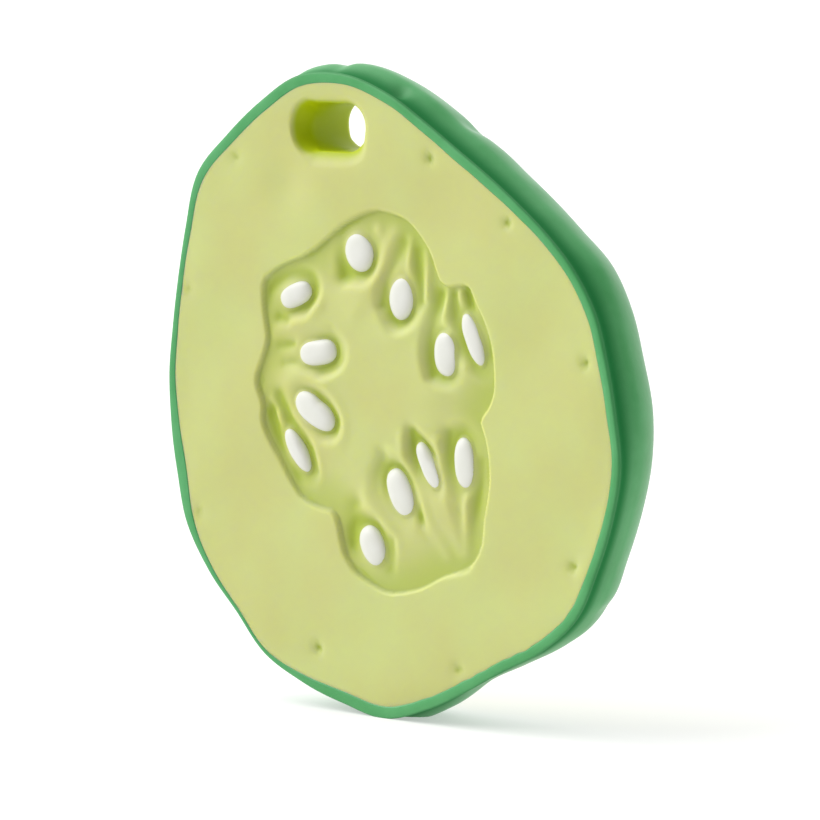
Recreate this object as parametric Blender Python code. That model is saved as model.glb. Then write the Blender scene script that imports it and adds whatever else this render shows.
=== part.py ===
"""Cucumber-slice teether: one solid moulding of soft rubber, standing upright on its rim.

Millimetres in the driving dimensions, metres in the model. +X is the width seen from the front,
-Y is the way the front face looks, and +Z is up. The origin is on the standing surface, under the
middle of the slice.
"""

import math

import bpy
import numpy as np

MM = 0.001
TINY = 0.000001

# The slice: its thickness, the middle of its face, the radius of the face's edge every 10 degrees
# from +X towards +Z, and every 20 degrees the width of the rounded lip outside that edge.
THICKNESS = 12.0
CENTRE_X = 0.46
CENTRE_Z = 49.15
EDGE_RADII = (
    42.2, 41.3, 41.0, 40.0, 38.7, 37.8, 37.7, 38.5, 40.6, 43.9, 47.1, 48.8,
    48.2, 47.8, 47.9, 45.4, 43.7, 42.8, 42.7, 42.5, 43.0, 45.0, 45.9, 46.2,
    47.7, 47.2, 46.8, 47.5, 46.1, 44.7, 44.3, 45.5, 46.2, 45.1, 44.4, 43.8,
)
LIP_WIDTHS = (
    1.2, 1.2, 1.2, 1.3, 1.4, 1.5, 1.7, 1.6, 1.1, 1.4, 2.2, 0.9, 0.7, 1.8, 1.6, 1.4, 1.3, 1.2,
)

# The rim in section. The lip: shares of its width past the front crest, and depths behind the front
# face. The side: how far it stands out past the crest, and depths.
LIP_SECTION = ((-1.0, 0.0), (-0.5, -0.1), (-0.12, -0.02))
SIDE_SECTION = (
    (0.0, 0.4), (-0.45, 1.3), (-0.2, 2.3), (0.45, 3.6), (0.95, 4.8), (1.05, 5.8), (0.85, 7.2),
    (0.4, 8.7), (-0.25, 10.0), (-1.2, 11.0), (-2.4, 11.6), (-3.4, 11.9), (-4.3, 12.0),
)
BACK_INSET = 4.3

# How far the side stands out more than its section, every 10 degrees, and the depths between which
# that sets in.
SIDE_SWELLS = (
    -0.2, -0.35, -0.3, 0.1, -0.3, -0.15, -0.05, 0.15, 0.4, 0.25, 0.0, 0.0,
    0.1, 0.2, 0.0, -0.2, 0.0, 0.1, -0.1, -0.3, -0.2, -0.4, -0.6, -0.4,
    -0.3, -0.2, -0.1, 0.0, -0.7, -1.9, -1.4, -1.4, -1.4, -1.55, -1.5, -1.2,
)
SWELL_DEPTHS = (1.2, 5.5)
LUMP_DEPTHS = (0.8, 2.6)
FACE_EDGE = (0.93, 1.0)   # shares of the face's radius between which its relief fades out

# Soft dents and swellings of the rim: direction in degrees, depth behind the front face, height,
# and half-widths along the rim and across it.
RIM_LUMPS = (
    (97, 6.0, 0.35, 9.0, 3.5), (104, 5.5, -0.5, 1.8, 3.5), (113, 4.0, 0.35, 5.0, 3.0),
    (90, 2.6, -0.5, 1.8, 1.1), (75, 8.0, -0.55, 2.6, 2.6), (66, 8.5, 0.25, 5.0, 3.0),
    (83, 4.5, 0.25, 3.5, 2.0), (50, 5.0, -0.25, 4.0, 2.5), (28, 5.0, 0.2, 6.0, 2.5),
    (325, 8.5, 0.1, 3.0, 3.0), (320, 8.0, -0.3, 2.0, 3.0), (314, 7.0, 0.15, 3.0, 3.0),
    (240, 6.0, 0.35, 7.0, 3.0), (226, 6.0, -0.4, 4.0, 3.0), (212, 6.0, 0.3, 7.0, 3.0),
    (190, 6.0, -0.35, 5.0, 3.0), (176, 6.0, 0.35, 8.0, 3.0), (158, 6.0, -0.4, 5.0, 3.0),
    (140, 6.0, 0.3, 8.0, 3.0),
)

# The recessed seed chamber: directions in degrees and radii of its outline, from the slice's middle.
CHAMBER_OUTLINE = (
    (4, 21.0), (24, 22.3), (40, 23.1), (47, 23.9), (50, 22.8), (54, 20.7), (60, 20.8), (68, 23.6),
    (81, 26.9), (94, 27.9), (106, 26.8), (121, 25.5), (130, 26.0), (139, 28.1), (147, 29.4),
    (154, 27.4), (163, 24.7), (171, 25.1), (179, 26.3), (187, 24.7), (193, 25.6), (208, 24.1),
    (225, 24.1), (232, 23.1), (241, 21.3), (246, 22.7), (251, 26.0), (258, 28.4), (271, 30.3),
    (284, 29.7), (293, 28.9), (304, 29.8), (311, 28.6), (318, 25.8), (330, 23.5), (344, 20.4),
    (352, 18.4), (358, 20.0),
)
CHAMBER_DEPTH = 0.8
CHAMBER_WALL = (-0.12, 0.38)   # where the wall starts and ends, inward of the outline
CHAMBER_RISE = (1.0, 11.0)   # where the floor starts to rise again and is back in the face's plane

# The seeds: middle (X, Z) from the slice's middle, length, width, and lean of the long axis in
# degrees from +X.
SEEDS = (
    (-5.4, 21.0, 5.8, 5.2, 100), (-18.0, 14.0, 6.2, 3.4, 25), (2.9, 14.5, 6.5, 4.6, 78),
    (-13.6, 5.4, 6.8, 3.8, 9), (11.4, 6.8, 6.5, 4.4, 89), (16.8, 9.3, 8.1, 3.1, 113),
    (-14.2, -3.6, 8.2, 4.1, 148), (-17.7, -9.8, 7.5, 2.8, 126), (2.7, -14.5, 7.5, 4.3, 121),
    (8.1, -10.0, 7.6, 2.7, 123), (15.1, -9.1, 7.5, 3.9, 97), (-2.8, -23.0, 6.2, 4.3, 124),
)
SEED_TOP = 0.15   # above the face's plane
SEED_ROUNDNESS = 3.0
SEED_MARGIN = 0.25   # bare rubber round the painted oval

# The pocket round each seed: its depth and reach, the share of the depth at the seed's outer end, and
# the low rim round it with its height, distance from the seed and half-width.
POCKET_DEPTH = 1.3
POCKET_REACH = 1.5
POCKET_SHALLOW = 0.4
POCKET_RIM = (0.2, 2.6, 1.0)

# Troughs beside and beyond the seeds, and the ridges between them: the points (X, Z) of each one's
# middle line from the slice's middle, its half-width, and its height, negative for a trough.
STROKES = (
    (((-7.5, 21.9), (-8.2, 18.4)), 1.7, -1.1),
    (((-24.5, 12.9), (-22.5, 15.4), (-16.5, 16.9), (-14.5, 15.4), (-16.0, 11.9)), 1.2, -0.45),
    (((-21.5, 10.4), (-20.0, 10.0)), 1.0, -0.5),
    (((3.0, 22.4), (0.5, 17.9), (-0.5, 14.4)), 1.2, -0.7),
    (((6.0, 20.9), (6.5, 14.4)), 1.0, -0.55),
    (((-10.5, 8.9), (-8.2, 6.9), (-9.0, 3.9), (-13.0, 2.7)), 1.1, -0.5),
    (((-21.0, 6.1), (-18.5, 6.4)), 0.8, -0.45),
    (((-20.0, 3.4), (-17.5, 3.9)), 0.8, -0.45),
    (((10.5, 14.9), (8.5, 8.9), (9.0, 4.4)), 1.2, -0.75),
    (((13.0, 15.4), (13.5, 11.4)), 1.1, -0.6),
    (((15.6, 16.4), (16.2, 13.4)), 0.9, -0.6),
    (((18.4, 11.4), (20.0, 7.4)), 0.8, -0.6),
    (((-21.0, -2.1), (-18.5, -6.6)), 1.1, -0.9),
    (((-10.0, -4.6), (-10.3, -6.6)), 0.9, -0.5),
    (((-23.0, -4.1), (-21.5, -8.6), (-18.0, -13.6)), 1.4, -0.55),
    (((-15.3, -9.6), (-14.0, -12.6)), 0.8, -0.45),
    (((-0.5, -9.6), (-2.0, -12.6), (-1.0, -16.1), (2.5, -19.1)), 1.3, -0.55),
    (((6.0, -17.1), (7.0, -19.6)), 0.9, -1.0),
    (((5.0, -5.6), (5.5, -9.6), (8.0, -14.6), (10.0, -19.1)), 1.2, -0.7),
    (((12.0, -6.1), (12.0, -9.1), (13.5, -13.6), (14.5, -16.6)), 1.1, -0.6),
    (((17.8, -10.1), (17.5, -14.6), (16.8, -18.6)), 1.0, -0.5),
    (((-6.0, -18.1), (-6.4, -22.6)), 1.8, -0.75),
    (((1.0, -22.1), (0.5, -25.6)), 1.1, -0.6),
    (((1.0, 23.4), (-2.0, 16.9), (-6.0, 11.9)), 1.5, 0.6),
    (((4.5, 22.4), (4.5, 18.9)), 0.7, 0.5),
    (((7.8, 20.4), (8.0, 14.9)), 0.8, 0.45),
    (((12.0, 17.4), (11.5, 11.2)), 0.7, 0.6),
    (((14.2, 16.4), (15.0, 12.9)), 0.7, 0.6),
    (((14.2, 11.4), (15.5, 6.4)), 0.8, 0.5),
    (((-21.5, 7.9), (-13.0, 12.4)), 1.4, 0.6),
    (((-18.0, 0.9), (-8.0, 0.9)), 1.8, 0.3),
    (((-22.5, -3.1), (-20.2, -6.8)), 0.7, 0.6),
    (((3.5, -6.1), (5.2, -12.1), (7.6, -16.1), (11.0, -22.1)), 1.0, 0.6),
    (((10.0, -6.6), (11.0, -13.1), (14.0, -21.6)), 0.9, 0.5),
    (((15.6, -14.6), (15.5, -21.6)), 0.8, 0.5),
    (((-4.0, -15.6), (-0.5, -19.8), (1.5, -21.1)), 1.2, 0.4),
)

STROKE_FADE = (0.0, 1.5)   # strokes fade in over this width inward of the outline
RIDGE_FADE = 0.7

# Small round pits near the rim: middle (X, Z) from the slice's middle.
PITS = (
    (-30.1, 34.8), (8.7, 35.8), (23.5, 27.0), (38.0, 7.2), (-40.0, 13.8), (-38.0, -20.9),
    (-13.5, -39.8), (14.4, -40.2), (35.8, -22.7),
)
PIT_DEPTH = 0.7
PIT_RADIUS = 1.1
PIT_STEEPNESS = 1.5

# Faint waves of the face: height, turns per millimetre along X and along Z, and start in radians.
FACE_WAVES = ((0.05, 0.196, 0.137, 0.6), (0.05, 0.196, -0.137, 0.6), (0.08, -0.111, 0.227, 0.0))
CHAMBER_CALM = 0.5

# Soft hills and hollows of the face: middle (X, Z) from the slice's middle, height, and reach.
FACE_SWELLS = (
    (-19.7, 30.6, -0.4, 3.6), (-13.2, 29.2, 0.12, 3.4), (-28.0, 33.0, 0.1, 4.0),
    (-31.0, 8.0, -0.3, 6.0), (-32.0, -9.0, 0.1, 6.0), (12.0, 30.0, -0.2, 6.0),
    (28.0, 10.0, -0.3, 6.0), (29.0, -12.0, 0.1, 7.0), (22.0, -28.0, -0.25, 6.0),
    (4.0, -38.0, 0.1, 6.0), (-16.0, -30.0, -0.25, 6.0), (-2.0, 3.0, -0.15, 7.0),
)

# The oblong hole through the top, with rounded lips at both faces and a bevel below it. Its middle is
# stated from the slice's middle, halfway through. It leans to the right towards the back.
HOLE_X = -10.35
HOLE_Z = 39.75
HOLE_WIDTH = 12.9
HOLE_HEIGHT = 7.1
HOLE_LEAN = 0.9
HOLE_LIP = 1.2
HOLE_BEVEL = 2.5
HOLE_BEVEL_HOLLOW = 1.5
HOLE_BEVEL_SPAN = (0.1, 0.6)
HOLE_LIP_CREASE = 0.07
HOLE_LIP_TURN = 75.0
HOLE_OVERRUN = 1.5

FOOT_CUTTER_SIZE = 48.0

# How finely the moulding is worked out, before it is thinned to its final faces.
SEGMENTS = 240
RINGS = 150
FRONT_SHARE = 0.42
THINNED_SHARE = 0.14
HOLE_SEGMENTS = 46
HOLE_RINGS = 40
HOLE_CAP_SHARE = 0.06
HOLE_BEND_START = 0.25
HOLE_BEND_END = 0.85
HOLE_RING_CROWDING = 1.3

# Finishes: colour and roughness.
RUBBER = ((0.57, 0.62, 0.21), 0.45)
GREEN_PAINT = ((0.05, 0.27, 0.10), 0.35)
WHITE_PAINT = ((0.83, 0.84, 0.78), 0.45)


def periodic_curve(values, degrees):
    """Smooth closed curve through equally spaced values (Catmull-Rom), read at any directions."""
    values = np.asarray(values)
    count = len(values)
    place = np.mod(degrees, 360.0) / 360.0 * count
    index = np.floor(place).astype(int)
    part = place - index
    before, here, after, beyond = (values[(index + step) % count] for step in (-1, 0, 1, 2))
    return 0.5 * (2 * here + (after - before) * part
                  + (2 * before - 5 * here + 4 * after - beyond) * part ** 2
                  + (3 * here - before - 3 * after + beyond) * part ** 3)


def open_curve(points, place):
    """Smooth open curve through the points (Catmull-Rom), read at places from 0 to 1."""
    points = np.asarray(points, dtype=float)
    padded = np.vstack([2 * points[0] - points[1], points, 2 * points[-1] - points[-2]])
    place = np.clip(place, 0.0, 1.0) * (len(points) - 1)
    index = np.minimum(np.floor(place).astype(int), len(points) - 2)
    part = (place - index)[..., None]
    before, here, after, beyond = (padded[index + step] for step in (0, 1, 2, 3))
    return 0.5 * (2 * here + (after - before) * part
                  + (2 * before - 5 * here + 4 * after - beyond) * part ** 2
                  + (3 * here - before - 3 * after + beyond) * part ** 3)


def smooth_step(value, low, high):
    """0 below low, 1 above high, and an S-curve between them."""
    share = np.clip((value - low) / (high - low), 0.0, 1.0)
    return share * share * (3.0 - 2.0 * share)


def turn_gap(degrees, direction):
    """Angle between two directions, at most 180 degrees."""
    return np.abs(np.mod(degrees - direction + 180.0, 360.0) - 180.0)


def chamber_radius(degrees):
    """Radius of the seed chamber's outline, straight between its points, rounded over 2 degrees."""
    directions = [row[0] for row in CHAMBER_OUTLINE]
    radii = [row[1] for row in CHAMBER_OUTLINE]
    shifts = (-2.0, -1.0, 0.0, 1.0, 2.0)
    return np.mean([np.interp(degrees + shift, directions, radii, period=360.0) for shift in shifts],
                   axis=0)


def inside_chamber(x, z):
    """Distance inside the seed chamber's outline, negative outside it."""
    steps = np.arange(0.0, 361.0, 3.0)
    outline_x = chamber_radius(steps) * np.cos(np.radians(steps))
    outline_z = chamber_radius(steps) * np.sin(np.radians(steps))
    nearest = distance_to_line(x, z, list(zip(outline_x, outline_z)))
    degrees = np.degrees(np.arctan2(z, x))
    return np.where(np.hypot(x, z) < chamber_radius(degrees), nearest, -nearest)


def distance_to_line(x, z, points):
    """Shortest distance from each (x, z) to a broken line."""
    nearest = np.full(np.shape(x), np.inf)
    for (x0, z0), (x1, z1) in zip(points[:-1], points[1:]):
        run_x, run_z = x1 - x0, z1 - z0
        share = ((x - x0) * run_x + (z - z0) * run_z) / (run_x ** 2 + run_z ** 2)
        share = np.clip(share, 0.0, 1.0)
        nearest = np.minimum(nearest, np.hypot(x - x0 - share * run_x, z - z0 - share * run_z))
    return nearest


def seed_reach(x, z, seed, margin=0.0):
    """Distance from a seed's middle as a share of its oval: 1 on the oval grown by the margin."""
    seed_x, seed_z, length, width, lean = seed
    turn = math.radians(lean)
    along = (x - seed_x) * math.cos(turn) + (z - seed_z) * math.sin(turn)
    across = -(x - seed_x) * math.sin(turn) + (z - seed_z) * math.cos(turn)
    return np.hypot(along / (length / 2 + margin), across / (width / 2 + margin))


def core_side(x, z, seed):
    """1 on a seed's side towards the slice's core, 0 on its outer side, and between them between."""
    away_x, away_z = x - seed[0], z - seed[1]
    towards = -(away_x * seed[0] + away_z * seed[1]) / math.hypot(seed[0], seed[1])
    return (1.0 + towards / np.maximum(np.hypot(away_x, away_z), TINY)) / 2.0


def face_relief(x, z):
    """Height of the face above its plane at (x, z) from the slice's middle.

    It is the sum of the waves, hills and hollows, the chamber with its wall, the strokes, the
    pockets, the seeds and the pits.
    """
    inward = inside_chamber(x, z)
    wall = smooth_step(inward, *CHAMBER_WALL)
    rise = smooth_step(inward, *CHAMBER_RISE)

    height = np.zeros(np.shape(x))
    for lift, along_x, along_z, start in FACE_WAVES:
        height = height + lift * np.sin(along_x * x + along_z * z + start)
    for hill_x, hill_z, lift, reach in FACE_SWELLS:
        height = height + lift * np.exp(-((x - hill_x) ** 2 + (z - hill_z) ** 2) / reach ** 2)
    height = height * (1.0 - CHAMBER_CALM * wall) - CHAMBER_DEPTH * wall * (1.0 - rise)

    for points, half_width, lift in STROKES:
        reach = distance_to_line(x, z, points) / half_width
        fade = 1.0 - RIDGE_FADE * rise if lift > 0.0 else 1.0
        height = height + lift * fade * np.exp(-reach ** 2) * smooth_step(inward, *STROKE_FADE)
    for seed in SEEDS:
        beside = (seed_reach(x, z, seed, margin=SEED_MARGIN) - 1.0) * seed[3] / 2
        pocket = np.exp(-(np.maximum(beside, 0.0) / POCKET_REACH) ** 2)
        coreward = core_side(x, z, seed)
        deep = POCKET_DEPTH * (POCKET_SHALLOW + (1.0 - POCKET_SHALLOW) * coreward)
        rim_lift, rim_away, rim_width = POCKET_RIM
        height = height + rim_lift * coreward * np.exp(-((beside - rim_away) / rim_width) ** 2)
        height = height - (height + deep) * pocket
        share = seed_reach(x, z, seed, margin=SEED_MARGIN)
        dome = np.sqrt(np.clip(1.0 - share ** SEED_ROUNDNESS, 0.0, 1.0))
        height = height + (SEED_TOP - height) * dome
    for pit_x, pit_z in PITS:
        pit = np.hypot(x - pit_x, z - pit_z) / PIT_RADIUS
        height = height - PIT_DEPTH * np.exp(-PIT_STEEPNESS * pit ** PIT_STEEPNESS)
    return height


def edge_radius(degrees):
    """Radius of the face's edge, where the rounded lip of the rim starts."""
    return periodic_curve(EDGE_RADII, degrees)


def crest_radius(degrees):
    """Radius of the rim's front crest, outside the lip."""
    return edge_radius(degrees) + periodic_curve(LIP_WIDTHS, degrees)


def back_edge_radius(degrees):
    """Radius of the back face's edge."""
    return crest_radius(degrees) - BACK_INSET + periodic_curve(SIDE_SWELLS, degrees)


def rim_lumps(degrees, depth):
    """How far the lumps of the rim stand out at a direction and a depth behind the front face."""
    height = np.zeros(np.shape(degrees))
    for direction, middle, lift, half_turn, half_depth in RIM_LUMPS:
        along = turn_gap(degrees, direction) / half_turn
        across = (depth - middle) / half_depth
        height = height + lift * np.exp(-along ** 2 - across ** 2)
    return height


def slice_point(degrees, travel):
    """Point of the moulding, in millimetres, for a direction round it and a travel over it.

    The travel runs from 0 at the middle of the front face, out over the rim, to 1 at the middle of
    the back face.
    """
    turn = np.radians(degrees)
    crest = crest_radius(degrees)
    front = np.clip(travel / FRONT_SHARE, 0.0, 1.0)
    over_rim = np.clip((travel - FRONT_SHARE) / (1.0 - 2.0 * FRONT_SHARE), 0.0, 1.0)
    back = np.clip((1.0 - travel) / FRONT_SHARE, 0.0, 1.0)

    rim_section = LIP_SECTION + SIDE_SECTION
    section = open_curve(rim_section, over_rim)
    stand_out, depth = section[..., 0], section[..., 1]
    on_lip = over_rim < len(LIP_SECTION) / (len(rim_section) - 1)
    stand_out = stand_out * np.where(on_lip, crest - edge_radius(degrees), 1.0)
    stand_out = stand_out + rim_lumps(degrees, depth) * smooth_step(depth, *LUMP_DEPTHS)
    stand_out = stand_out + periodic_curve(SIDE_SWELLS, degrees) * smooth_step(depth, *SWELL_DEPTHS)

    radius = crest + stand_out
    radius = np.where(travel < FRONT_SHARE, front * edge_radius(degrees), radius)
    radius = np.where(travel > 1.0 - FRONT_SHARE, back * back_edge_radius(degrees), radius)
    depth = np.where(travel < FRONT_SHARE, 0.0, np.where(travel > 1.0 - FRONT_SHARE, THICKNESS, depth))

    x = radius * np.cos(turn)
    z = radius * np.sin(turn)
    relief = face_relief(x, z)
    on_front = (1.0 - smooth_step(front, *FACE_EDGE)) * (travel < FRONT_SHARE)
    on_back = (1.0 - smooth_step(back, *FACE_EDGE)) * (travel > 1.0 - FRONT_SHARE)
    y = depth - THICKNESS / 2 - relief * on_front + relief * on_back
    return np.stack([CENTRE_X + x, y, CENTRE_Z + z], axis=-1)


def clear_scene():
    """Remove every object that the scene starts with."""
    for thing in list(bpy.data.objects):
        bpy.data.objects.remove(thing, do_unlink=True)


def new_collection(name):
    """Collection linked to the scene."""
    collection = bpy.data.collections.new(name)
    bpy.context.scene.collection.children.link(collection)
    return collection


def move_to(thing, collection):
    """Take an object out of its collections and put it in this one."""
    for owner in list(thing.users_collection):
        owner.objects.unlink(thing)
    collection.objects.link(thing)


def finish_material(name, finish):
    """Principled material of one colour and roughness, not metallic."""
    colour, roughness = finish
    material = bpy.data.materials.new(name)
    material.use_nodes = True
    shader = material.node_tree.nodes["Principled BSDF"]
    shader.inputs["Base Color"].default_value = (*colour, 1.0)
    shader.inputs["Roughness"].default_value = roughness
    shader.inputs["Metallic"].default_value = 0.0
    return material


def sphere_directions(mesh):
    """Direction round the face and travel over the slice of each point of a ball's mesh."""
    points = np.empty(len(mesh.vertices) * 3)
    mesh.vertices.foreach_get("co", points)
    points = points.reshape(-1, 3)
    points = points / np.linalg.norm(points, axis=1, keepdims=True)
    degrees = np.degrees(np.arctan2(points[:, 1], points[:, 0]))
    travel = np.arccos(np.clip(points[:, 2], -1.0, 1.0)) / math.pi
    return degrees, travel


def paint_faces(mesh, centres):
    """Give each face the rubber, the rim's green or the seeds' white, by where it lies."""
    x, y, z = centres[:, 0] - CENTRE_X, centres[:, 1], centres[:, 2] - CENTRE_Z
    degrees = np.degrees(np.arctan2(z, x))
    inner = np.where(y < 0.0, edge_radius(degrees), back_edge_radius(degrees))
    slots = np.where(np.hypot(x, z) > inner, 1, 0)
    for seed in SEEDS:
        slots = np.where(seed_reach(x, z, seed) < 1.0, 2, slots)
    mesh.polygons.foreach_set("material_index", slots.astype(np.int32))


def make_slice():
    """The moulding: a ball's mesh with each point carried to its place on the slice."""
    bpy.ops.mesh.primitive_uv_sphere_add(segments=SEGMENTS, ring_count=RINGS, radius=1.0)
    body = bpy.context.object
    body.name = "teether_body"
    mesh = body.data
    mesh.name = "teether_body"
    degrees, travel = sphere_directions(mesh)
    points = slice_point(degrees, travel)
    mesh.vertices.foreach_set("co", (points * MM).ravel())
    mesh.update()
    centres = np.empty(len(mesh.polygons) * 3)
    mesh.polygons.foreach_get("center", centres)
    mesh.materials.append(finish_material("pale_rubber", RUBBER))
    mesh.materials.append(finish_material("green_rim_paint", GREEN_PAINT))
    mesh.materials.append(finish_material("white_seed_paint", WHITE_PAINT))
    paint_faces(mesh, centres.reshape(-1, 3) / MM)
    mesh.shade_smooth()
    return body


def make_hole_cutter():
    """Oblong plug with a waist: a ball's mesh drawn out along Y, then parted along X.

    From its middle to each end it is straight, then turns outward round the lip, or down the bevel
    below, then runs past the face. The caps at its ends are flat.
    """
    bpy.ops.mesh.primitive_uv_sphere_add(segments=HOLE_SEGMENTS, ring_count=HOLE_RINGS, radius=1.0)
    cutter = bpy.context.object
    cutter.name = "cutter_hole"
    mesh = cutter.data
    degrees, travel = sphere_directions(mesh)
    turn = np.radians(degrees)

    run = np.clip((travel - HOLE_CAP_SHARE) / (1.0 - 2.0 * HOLE_CAP_SHARE), 0.0, 1.0)
    outward = np.abs(2.0 * run - 1.0) ** HOLE_RING_CROWDING
    straight = np.clip(outward / HOLE_BEND_START, 0.0, 1.0)
    bend = np.clip((outward - HOLE_BEND_START) / (HOLE_BEND_END - HOLE_BEND_START), 0.0, 1.0)
    past = np.clip((outward - HOLE_BEND_END) / (1.0 - HOLE_BEND_END), 0.0, 1.0) * HOLE_OVERRUN
    bend = bend * math.radians(HOLE_LIP_TURN)

    below = smooth_step(-np.sin(turn), *HOLE_BEVEL_SPAN)
    bend_share = bend / math.radians(90.0)
    bevel_rise = HOLE_LIP * (1.0 - (1.0 - bend_share) ** HOLE_BEVEL_HOLLOW)
    rise = (1.0 - below) * HOLE_LIP * np.sin(bend) + below * bevel_rise
    reach = (1.0 - below) * HOLE_LIP * (1.0 - np.cos(bend)) + below * HOLE_BEVEL * bend_share
    wall_end = THICKNESS / 2 - HOLE_LIP + HOLE_LIP_CREASE
    y = (wall_end * straight + rise + past) * np.where(travel < 0.5, -1.0, 1.0)
    cap = np.clip(np.minimum(travel, 1.0 - travel) / HOLE_CAP_SHARE, 0.0, 1.0)
    radius = (HOLE_HEIGHT / 2 + reach + past) * cap
    parting = (HOLE_WIDTH - HOLE_HEIGHT) / 2 * np.sign(np.cos(turn)) * (cap > 0.0)
    shift = HOLE_LEAN / 2 * np.clip(y / wall_end, -1.0, 1.0)
    x = CENTRE_X + HOLE_X + shift + radius * np.cos(turn) + parting
    z = CENTRE_Z + HOLE_Z + radius * np.sin(turn)
    points = np.stack([x, y, z], axis=-1)
    mesh.vertices.foreach_set("co", (points * MM).ravel())
    mesh.update()
    return cutter


def make_foot_cutter():
    """Box whose top face is the standing surface, where it takes the foot off the lowest swelling."""
    size = FOOT_CUTTER_SIZE * MM
    bpy.ops.mesh.primitive_cube_add(size=size, location=(CENTRE_X * MM, 0.0, -size / 2))
    cutter = bpy.context.object
    cutter.name = "cutter_foot"
    return cutter


def cut(body, cutter, name):
    """Take the cutter's shape out of the body, and hide the cutter."""
    modifier = body.modifiers.new(name, "BOOLEAN")
    modifier.operation = "DIFFERENCE"
    modifier.solver = "EXACT"
    modifier.object = cutter
    cutter.hide_render = True
    cutter.display_type = "WIRE"


def thin_faces(body):
    """Merge faces where the surface is nearly flat."""
    modifier = body.modifiers.new("thin_faces", "DECIMATE")
    modifier.decimate_type = "COLLAPSE"
    modifier.ratio = THINNED_SHARE
    modifier.use_collapse_triangulate = True


def build():
    """Make the slice, open its hole, thin its faces and cut its foot."""
    clear_scene()
    parts = new_collection("cucumber_slice_teether")
    cutters = new_collection("cutters")
    body = make_slice()
    hole = make_hole_cutter()
    foot = make_foot_cutter()
    move_to(body, parts)
    move_to(hole, cutters)
    move_to(foot, cutters)
    cut(body, hole, "hole")
    thin_faces(body)
    cut(body, foot, "foot")


build()
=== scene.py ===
"""Cucumber-slice teether: a soft rubber moulding with a painted rim and painted seeds."""

import math

import bpy
import numpy as np
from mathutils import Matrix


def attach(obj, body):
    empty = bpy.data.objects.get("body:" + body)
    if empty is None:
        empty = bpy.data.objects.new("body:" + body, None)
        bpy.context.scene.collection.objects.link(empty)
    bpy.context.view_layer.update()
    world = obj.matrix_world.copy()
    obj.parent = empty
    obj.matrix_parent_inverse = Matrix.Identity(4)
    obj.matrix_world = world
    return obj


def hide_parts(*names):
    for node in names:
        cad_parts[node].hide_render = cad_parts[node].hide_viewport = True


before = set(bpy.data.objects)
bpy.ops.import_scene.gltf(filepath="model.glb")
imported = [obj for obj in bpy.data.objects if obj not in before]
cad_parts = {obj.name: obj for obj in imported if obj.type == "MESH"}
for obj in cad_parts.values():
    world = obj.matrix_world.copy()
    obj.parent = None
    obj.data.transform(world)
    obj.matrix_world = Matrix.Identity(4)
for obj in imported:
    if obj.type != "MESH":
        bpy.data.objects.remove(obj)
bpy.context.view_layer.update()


# The moulding. The whole teether is one piece of soft natural rubber, cast in a two-part mould in the
# shape of a slice 12 mm thick. Both faces carry a sunken seed chamber with fleshy ridges between the
# seeds, small pits lie near the front face's edge, and an oblong finger hole goes through the top.

MM = 0.001   # m; the sizes below are in millimetres where no comment says otherwise
MIDDLE_X = 0.46   # the slice's middle in the frame
MIDDLE_Z = 49.15
THICKNESS = 12.0

EDGE_RADII = (
    42.2, 41.3, 41.0, 40.0, 38.7, 37.8, 37.7, 38.5, 40.6, 43.9, 47.1, 48.8,
    48.2, 47.8, 47.9, 45.4, 43.7, 42.8, 42.7, 42.5, 43.0, 45.0, 45.9, 46.2,
    47.7, 47.2, 46.8, 47.5, 46.1, 44.7, 44.3, 45.5, 46.2, 45.1, 44.4, 43.8,
)   # mm from the slice's middle to the face's edge, every 10 degrees from +X towards +Z
LIP_WIDTHS = (
    1.2, 1.2, 1.2, 1.3, 1.4, 1.5, 1.7, 1.6, 1.1, 1.4, 2.2, 0.9, 0.7, 1.8, 1.6, 1.4, 1.3, 1.2,
)   # mm from the face's edge to the rim's front crest, every 20 degrees
SIDE_SWELLS = (
    -0.2, -0.35, -0.3, 0.1, -0.3, -0.15, -0.05, 0.15, 0.4, 0.25, 0.0, 0.0,
    0.1, 0.2, 0.0, -0.2, 0.0, 0.1, -0.1, -0.3, -0.2, -0.4, -0.6, -0.4,
    -0.3, -0.2, -0.1, 0.0, -0.7, -1.9, -1.4, -1.4, -1.4, -1.55, -1.5, -1.2,
)   # mm that the side stands out more than its section, every 10 degrees
LIP_SECTION = ((-1.0, 0.0), (-0.5, -0.1), (-0.12, -0.02))   # share of the lip's width, mm behind
SIDE_SECTION = (
    (0.0, 0.45), (-0.32, 1.35), (-0.12, 2.3), (0.45, 3.6), (0.95, 4.8), (1.05, 5.8), (0.85, 7.2),
    (0.4, 8.7), (-0.25, 10.0), (-1.2, 11.0), (-2.4, 11.6), (-3.4, 11.9), (-4.3, 12.0),
)   # mm past the crest, mm behind the front face
BACK_INSET = 4.3   # mm from the rim's crest in to the back face's edge
BACK_ROUNDING = 7.0   # mm behind the front face; the side turns in behind this depth
SWELL_DEPTHS = (1.2, 5.5)   # mm behind the front face between which the side's swell grows
LUMP_DEPTHS = (0.8, 2.6)   # the same for the rim's lumps
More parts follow.
